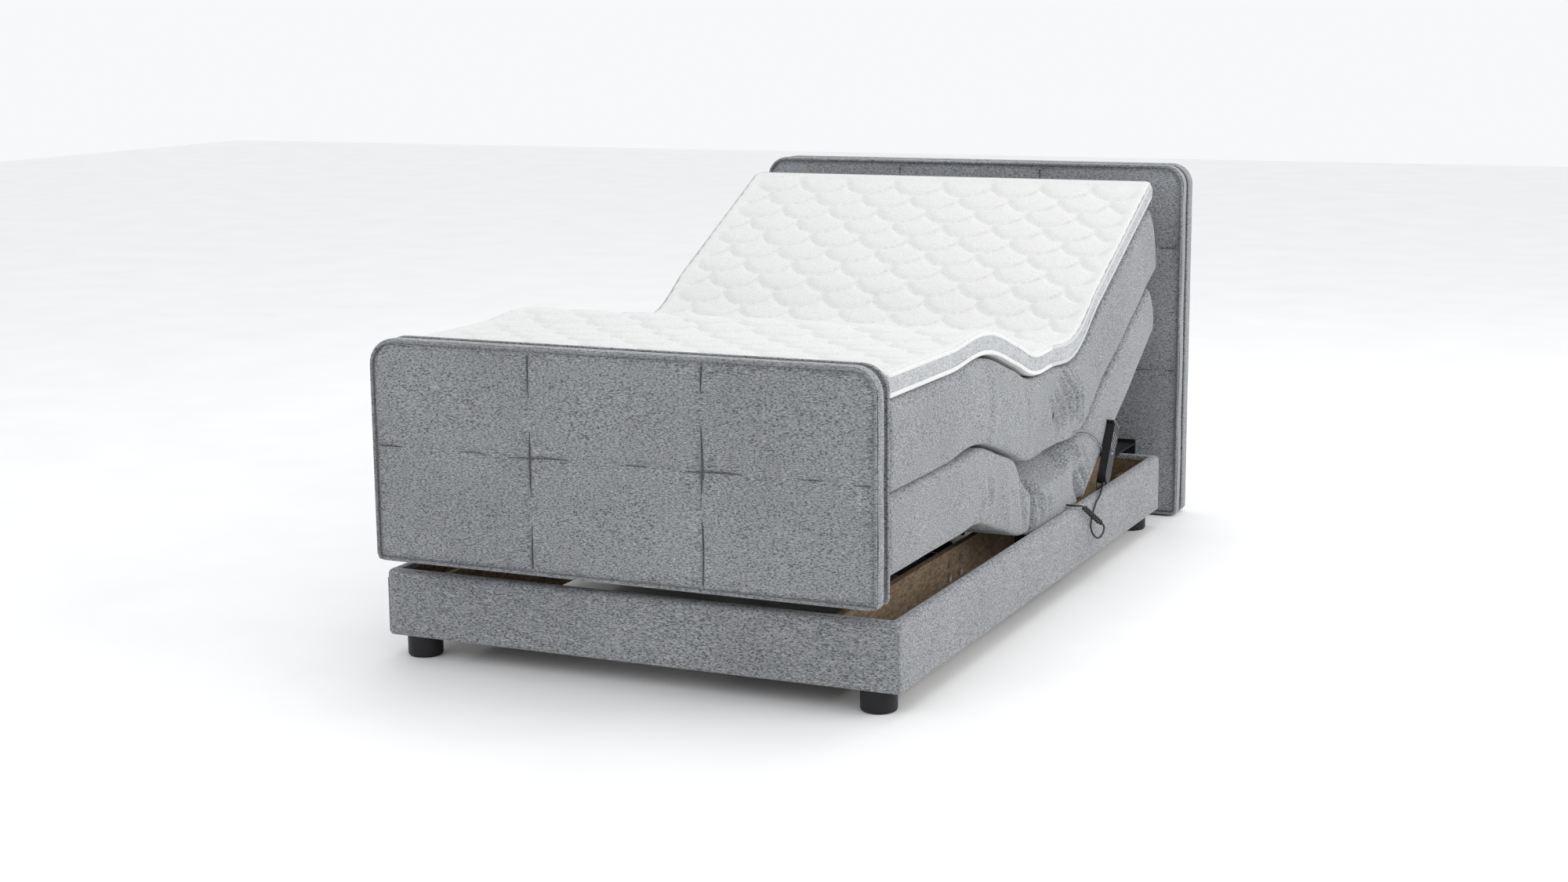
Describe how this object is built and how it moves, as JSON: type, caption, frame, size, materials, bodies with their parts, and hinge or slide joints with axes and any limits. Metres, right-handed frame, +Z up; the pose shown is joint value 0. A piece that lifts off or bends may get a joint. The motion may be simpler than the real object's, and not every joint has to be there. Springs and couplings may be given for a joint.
{
  "type": "adjustable bed base",
  "caption": "Upholstered box-spring bed with a folding motorised base, mattress and topper, headboard, footboard that rides on the base, and a wired handset.",
  "frame": {"origin": "middle of the bounding box on the floor under the bed", "axes": "+Z up, +Y from the footboard to the headboard, +X to the sleeper's right when lying on the back"},
  "size_m": [1.2875, 2.28, 1],
  "materials": {
    "grey_fabric": "matte textured chenille weave",
    "white_ticking": "quilted white knit",
    "chipboard": "raw brown chipboard",
    "black_steel": "black powder coat",
    "black_plastic": "fine-grained black plastic",
    "bare_steel": "zinc-plated steel",
    "grey_plastic": "satin dark grey plastic",
    "blue_lens": "clear blue lens",
    "cord_rubber": "soft black cord sheath"
  },
  "bodies": {
    "bed_frame": {"plinth_cover": "grey_fabric", "side_boards": "chipboard", "end_boards": "chipboard", "corner_blocks": "chipboard", "bearer_boards": "chipboard", "bearer_bolts": "black_steel", "feet": "black_plastic", "cross_members": "black_steel", "bearing_rails": "black_steel", "seat_frame": "black_steel", "hinge_pins": "black_steel", "base_seat": "grey_fabric", "mattress_seat": "grey_fabric", "topper_seat": "white_ticking", "motor_case_lower": "black_plastic", "motor_case_upper": "black_plastic", "gear_motors": "bare_steel", "control_box": "black_plastic", "cord_gland": "black_plastic", "headboard_core": "chipboard", "headboard_front_pad": "grey_fabric", "headboard_back_pad": "grey_fabric", "headboard_brackets": "black_steel", "headboard_screws": "black_steel", "handset_hanger": "black_steel", "handset_case": "black_plastic", "handset_plate": "grey_plastic", "handset_light": "blue_lens", "cord_strain_relief": "cord_rubber", "cord_upper": "cord_rubber", "cord_coil": "cord_rubber", "cord_lower": "cord_rubber"},
    "back": {"back_frame": "black_steel", "base_back": "grey_fabric"},
    "mattress_back_part": {"mattress_back": "grey_fabric"},
    "topper_back_part": {"topper_back": "white_ticking"},
    "thigh": {"thigh_frame": "black_steel", "knee_pins": "black_steel", "base_thigh": "grey_fabric"},
    "mattress_thigh_part": {"mattress_thigh": "grey_fabric"},
    "topper_thigh_part": {"topper_thigh": "white_ticking"},
    "calf": {"calf_frame": "black_steel", "base_calf": "grey_fabric", "footboard_core": "chipboard", "footboard_front_pad": "grey_fabric", "footboard_back_pad": "grey_fabric", "footboard_brackets": "black_steel", "footboard_screws": "black_steel"},
    "mattress_calf_part": {"mattress_calf": "grey_fabric"},
    "topper_calf_part": {"topper_calf": "white_ticking"},
    "back_shaft_part": {"back_shaft": "black_steel", "back_rollers": "black_plastic"},
    "leg_shaft_part": {"leg_shaft": "black_steel", "leg_rollers": "black_plastic"},
    "key_back_up_part": {"key_back_up": "black_plastic"},
    "key_leg_up_part": {"key_leg_up": "black_plastic"},
    "key_both_up_part": {"key_both_up": "black_plastic"},
    "key_back_down_part": {"key_back_down": "black_plastic"},
    "key_leg_down_part": {"key_leg_down": "black_plastic"},
    "key_both_down_part": {"key_both_down": "black_plastic"}
  },
  "joints": [
    {"name": "back_hinge", "type": "hinge", "parent": "bed_frame", "child": "back", "pos_m": [0, 0.288, 0.206], "axis": [1, 0, 0], "range_deg": [-26, 14]},
    {"name": "mattress_back_fold", "type": "hinge", "parent": "bed_frame", "child": "mattress_back_part", "pos_m": [0, 0.24191, 0.378], "axis": [1, 0, 0], "range_deg": [-26, 14]},
    {"name": "topper_back_fold", "type": "hinge", "parent": "bed_frame", "child": "topper_back_part", "pos_m": [0, 0.18913, 0.575], "axis": [1, 0, 0], "range_deg": [-26, 14]},
    {"name": "thigh_hinge", "type": "hinge", "parent": "bed_frame", "child": "thigh", "pos_m": [0, -0.22, 0.206], "axis": [-1, 0, 0], "range_deg": [-17, 12]},
    {"name": "mattress_thigh_fold", "type": "hinge", "parent": "bed_frame", "child": "mattress_thigh_part", "pos_m": [0, -0.17552, 0.378], "axis": [-1, 0, 0], "range_deg": [-17, 12]},
    {"name": "topper_thigh_fold", "type": "hinge", "parent": "bed_frame", "child": "topper_thigh_part", "pos_m": [0, -0.12457, 0.575], "axis": [-1, 0, 0], "range_deg": [-17, 12]},
    {"name": "knee_hinge", "type": "hinge", "parent": "thigh", "child": "calf", "pos_m": [0, -0.50689, 0.29371], "axis": [1, 0, 0], "range_deg": [-17, 12]},
    {"name": "mattress_knee_fold", "type": "hinge", "parent": "mattress_thigh_part", "child": "mattress_calf_part", "pos_m": [0, -0.46241, 0.46571], "axis": [1, 0, 0], "range_deg": [-17, 12]},
    {"name": "topper_knee_fold", "type": "hinge", "parent": "topper_thigh_part", "child": "topper_calf_part", "pos_m": [0, -0.41146, 0.66271], "axis": [1, 0, 0], "range_deg": [-17, 12]},
    {"name": "back_shaft_turn", "type": "hinge", "parent": "bed_frame", "child": "back_shaft_part", "pos_m": [0, 0.258, 0.15], "axis": [1, 0, 0], "range_deg": [-20.73, 11.16]},
    {"name": "leg_shaft_turn", "type": "hinge", "parent": "bed_frame", "child": "leg_shaft_part", "pos_m": [0, -0.172, 0.15], "axis": [-1, 0, 0], "range_deg": [-10.12, 7.15]},
    {"name": "key_back_up_press", "type": "slide", "parent": "bed_frame", "child": "key_back_up_part", "axis": [-1, 0, 0], "range_m": [0, 0.0008], "stiffness_N_per_m": 900, "springref_m": -0.0006},
    {"name": "key_leg_up_press", "type": "slide", "parent": "bed_frame", "child": "key_leg_up_part", "axis": [-1, 0, 0], "range_m": [0, 0.0008], "stiffness_N_per_m": 900, "springref_m": -0.0006},
    {"name": "key_both_up_press", "type": "slide", "parent": "bed_frame", "child": "key_both_up_part", "axis": [-1, 0, 0], "range_m": [0, 0.0008], "stiffness_N_per_m": 900, "springref_m": -0.0006},
    {"name": "key_back_down_press", "type": "slide", "parent": "bed_frame", "child": "key_back_down_part", "axis": [-1, 0, 0], "range_m": [0, 0.0008], "stiffness_N_per_m": 900, "springref_m": -0.0006},
    {"name": "key_leg_down_press", "type": "slide", "parent": "bed_frame", "child": "key_leg_down_part", "axis": [-1, 0, 0], "range_m": [0, 0.0008], "stiffness_N_per_m": 900, "springref_m": -0.0006},
    {"name": "key_both_down_press", "type": "slide", "parent": "bed_frame", "child": "key_both_down_part", "axis": [-1, 0, 0], "range_m": [0, 0.0008], "stiffness_N_per_m": 900, "springref_m": -0.0006}
  ],
  "couplings": [
    {"joint": "mattress_back_fold", "follows": "back_hinge", "ratio": 1},
    {"joint": "topper_back_fold", "follows": "back_hinge", "ratio": 1},
    {"joint": "back_shaft_turn", "follows": "back_hinge", "ratio": 0.79714},
    {"joint": "knee_hinge", "follows": "thigh_hinge", "ratio": 1},
    {"joint": "mattress_thigh_fold", "follows": "thigh_hinge", "ratio": 1},
    {"joint": "topper_thigh_fold", "follows": "thigh_hinge", "ratio": 1},
    {"joint": "mattress_knee_fold", "follows": "thigh_hinge", "ratio": 1},
    {"joint": "topper_knee_fold", "follows": "thigh_hinge", "ratio": 1},
    {"joint": "leg_shaft_turn", "follows": "thigh_hinge", "ratio": 0.5951}
  ]
}
